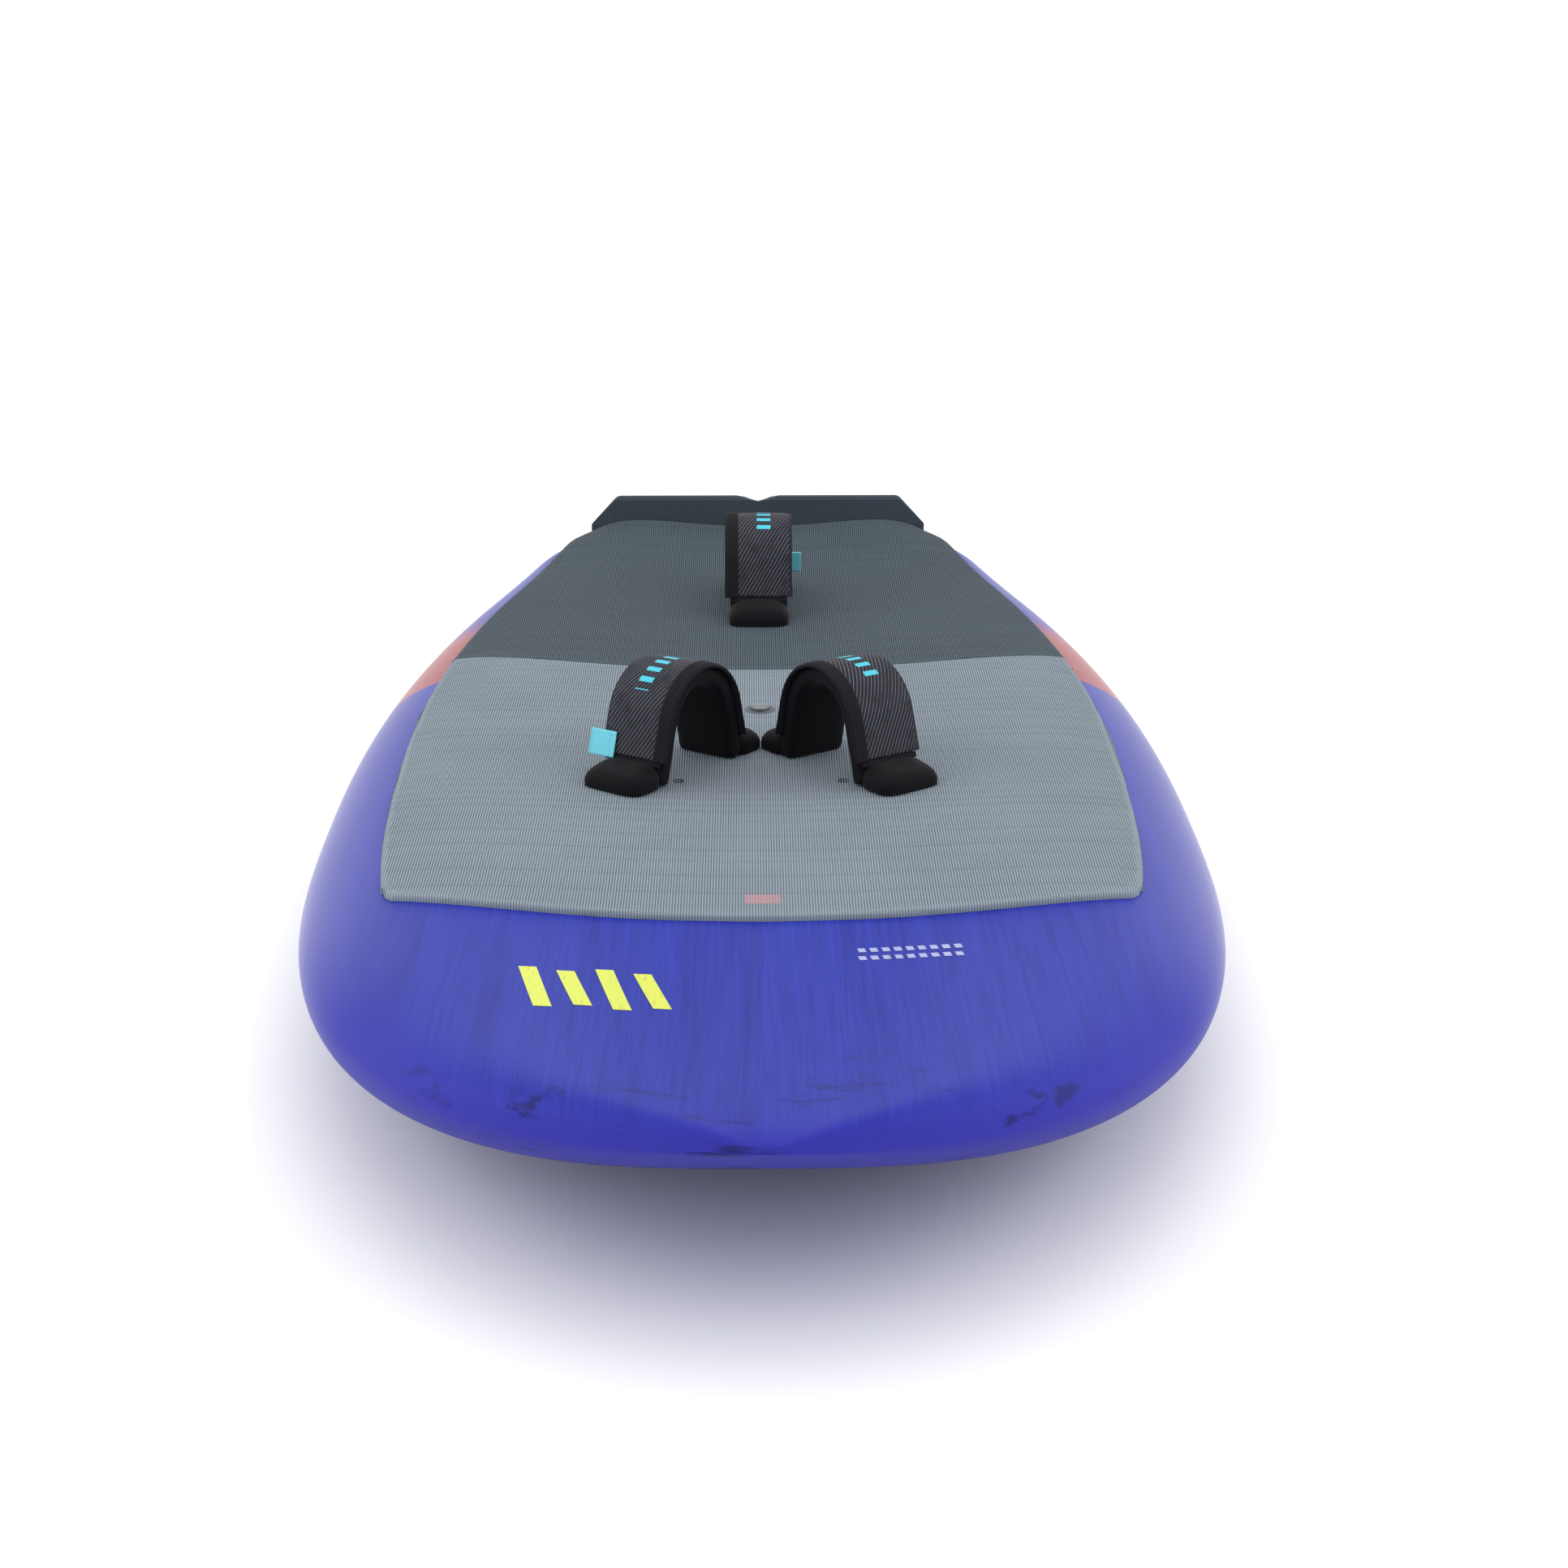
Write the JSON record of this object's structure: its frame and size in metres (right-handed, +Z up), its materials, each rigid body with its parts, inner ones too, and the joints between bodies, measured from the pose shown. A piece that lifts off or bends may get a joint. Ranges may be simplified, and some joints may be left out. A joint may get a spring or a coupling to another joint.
{
  "type": "wing foil board",
  "caption": "Short wide foil board with grooved deck pads, tail kick, padded foot straps in a V plus a rear strap, and twin foil tracks underneath.",
  "frame": {"origin": "centre of the bounding box in plan, on the floor under the flat of the bottom", "axes": "+Z up from the bottom to the deck, +Y from nose to tail, +X to the right when looking from the nose to the tail"},
  "size_m": [0.711, 1.6505, 0.2191],
  "materials": {
    "board_laminate": "satin clear-coated blue sandwich laminate with coral bands on the rails",
    "core_foam": "expanded polystyrene",
    "dense_foam": "high density PVC foam",
    "pad_light": "grooved EVA, light grey",
    "pad_dark": "grooved EVA, dark grey",
    "badge_red": "smooth red rubber",
    "moulded_black": "glass filled nylon",
    "brass_nut": "machined",
    "moulded_grey": "moulded nylon",
    "stainless": "A4 stainless steel",
    "seal_rubber": "nitrile rubber",
    "webbing": "woven polyester webbing",
    "strap_cover": "coated fabric with fine diagonal lines",
    "tag_fabric": "woven turquoise tape",
    "neoprene": "black neoprene foam with jersey face"
  },
  "bodies": {
    "board": {"carry_handle_cup": "moulded_black", "foam_core": "core_foam", "front_deck_pad": "pad_light", "front_insert_block": "dense_foam", "front_left_strap_cover": "strap_cover", "front_left_strap_inner_boot": "neoprene", "front_left_strap_outer_boot": "neoprene", "front_left_strap_sleeve": "neoprene", "front_left_strap_tag": "tag_fabric", "front_left_strap_webbing": "webbing", "front_right_strap_cover": "strap_cover", "front_right_strap_inner_boot": "neoprene", "front_right_strap_outer_boot": "neoprene", "front_right_strap_sleeve": "neoprene", "front_right_strap_tag": "tag_fabric", "front_right_strap_webbing": "webbing", "hull_shell": "board_laminate", "leash_bar": "stainless", "leash_plug_cup": "moulded_black", "left_foil_track": "moulded_black", "mast_box_block": "dense_foam", "pad_badge": "badge_red", "rear_deck_pad": "pad_dark", "rear_insert_blocks": "dense_foam", "rear_strap_cover": "strap_cover", "rear_strap_front_boot": "neoprene", "rear_strap_rear_boot": "neoprene", "rear_strap_sleeve": "neoprene", "rear_strap_tag": "tag_fabric", "rear_strap_webbing": "webbing", "right_foil_track": "moulded_black", "spare_inserts": "moulded_grey", "strap_inserts": "moulded_grey", "strap_screws": "stainless", "strap_washers": "moulded_black", "tail_kick_pad": "pad_dark", "vent_o_ring": "seal_rubber", "vent_plug_body": "moulded_grey"},
    "left_front_track_nut": {"left_front_track_nut": "brass_nut"},
    "left_rear_track_nut": {"left_rear_track_nut": "brass_nut"},
    "right_front_track_nut": {"right_front_track_nut": "brass_nut"},
    "right_rear_track_nut": {"right_rear_track_nut": "brass_nut"},
    "vent_screw": {"vent_screw": "stainless"}
  },
  "joints": [
    {"name": "left_front_track_nut_slide", "type": "slide", "parent": "board", "child": "left_front_track_nut", "axis": [0, 1, 0], "range_m": [-0.0805, 0.0665]},
    {"name": "left_rear_track_nut_slide", "type": "slide", "parent": "board", "child": "left_rear_track_nut", "axis": [0, 1, 0], "range_m": [-0.0665, 0.0805]},
    {"name": "right_front_track_nut_slide", "type": "slide", "parent": "board", "child": "right_front_track_nut", "axis": [0, 1, 0], "range_m": [-0.0805, 0.0665]},
    {"name": "right_rear_track_nut_slide", "type": "slide", "parent": "board", "child": "right_rear_track_nut", "axis": [0, 1, 0], "range_m": [-0.0665, 0.0805]},
    {"name": "vent_screw_turn", "type": "hinge", "parent": "board", "child": "vent_screw", "pos_m": [0, 0.1495, 0.13], "axis": [0, 0, 1], "range_deg": [0, 360]}
  ]
}
